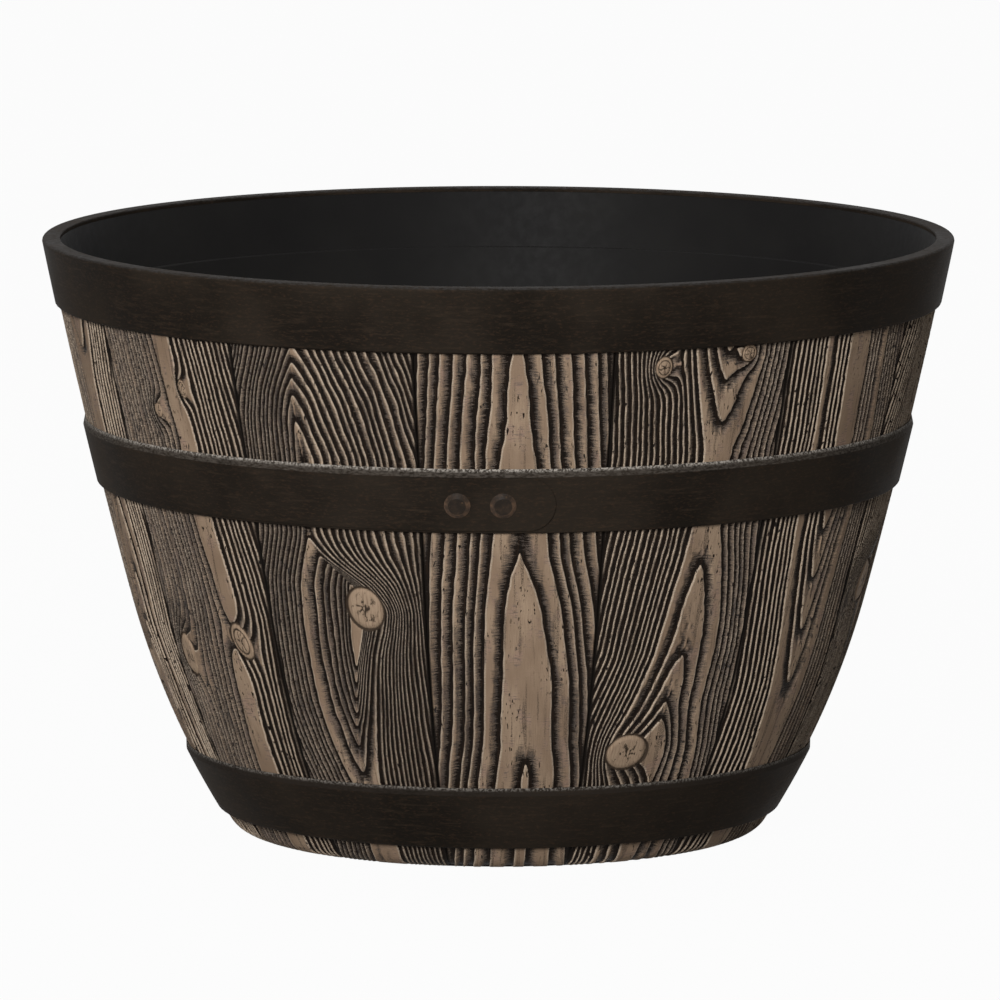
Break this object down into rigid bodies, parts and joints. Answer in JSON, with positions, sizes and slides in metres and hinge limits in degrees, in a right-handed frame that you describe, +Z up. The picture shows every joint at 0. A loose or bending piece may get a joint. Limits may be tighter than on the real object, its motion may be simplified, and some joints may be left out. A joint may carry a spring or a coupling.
{
  "type": "whiskey barrel planter",
  "caption": "Half-barrel planter of upright wood-grain planks held by riveted strap hoops, with a black inner tub and drain plugs that lift out of its floor.",
  "frame": {"origin": "centre of the base, on the ground", "axes": "+Z up along the barrel's axis; -Y towards the front, where the middle hoop's riveted lap is"},
  "size_m": [0.5192, 0.5195, 0.34],
  "materials": {
    "stave_resin": "moulded wood grain, black in the grooves and dry-brushed tan on the ridges",
    "strap_resin": "aged dark bronze paint, satin, with a scuffed grey upper bevel",
    "rivet_resin": "aged dark bronze paint with a rusty edge",
    "tub_resin": "black, satin, smooth",
    "board_resin": "black, matt, lightly grained",
    "plug_rubber": "black, matt"
  },
  "bodies": {
    "barrel": {"stave_01": "stave_resin", "stave_02": "stave_resin", "stave_03": "stave_resin", "stave_04": "stave_resin", "stave_05": "stave_resin", "stave_06": "stave_resin", "stave_07": "stave_resin", "stave_08": "stave_resin", "stave_09": "stave_resin", "stave_10": "stave_resin", "stave_11": "stave_resin", "stave_12": "stave_resin", "stave_13": "stave_resin", "stave_14": "stave_resin", "rim_band": "strap_resin", "middle_hoop": "strap_resin", "bottom_hoop": "strap_resin", "rim_band_rivets": "rivet_resin", "middle_hoop_rivets": "rivet_resin", "bottom_hoop_rivets": "rivet_resin", "liner_tub": "tub_resin", "head_board_1": "board_resin", "head_board_2": "board_resin", "head_board_3": "board_resin", "head_board_4": "board_resin", "head_board_5": "board_resin"},
    "drain_plug_1": {"drain_plug_1": "plug_rubber"},
    "drain_plug_2": {"drain_plug_2": "plug_rubber"},
    "drain_plug_3": {"drain_plug_3": "plug_rubber"}
  },
  "joints": [
    {"name": "drain_plug_1_lift", "type": "slide", "parent": "barrel", "child": "drain_plug_1", "axis": [0, 0, 1], "range_m": [0, 0.04]},
    {"name": "drain_plug_2_lift", "type": "slide", "parent": "barrel", "child": "drain_plug_2", "axis": [0, 0, 1], "range_m": [0, 0.04]},
    {"name": "drain_plug_3_lift", "type": "slide", "parent": "barrel", "child": "drain_plug_3", "axis": [0, 0, 1], "range_m": [0, 0.04]}
  ]
}
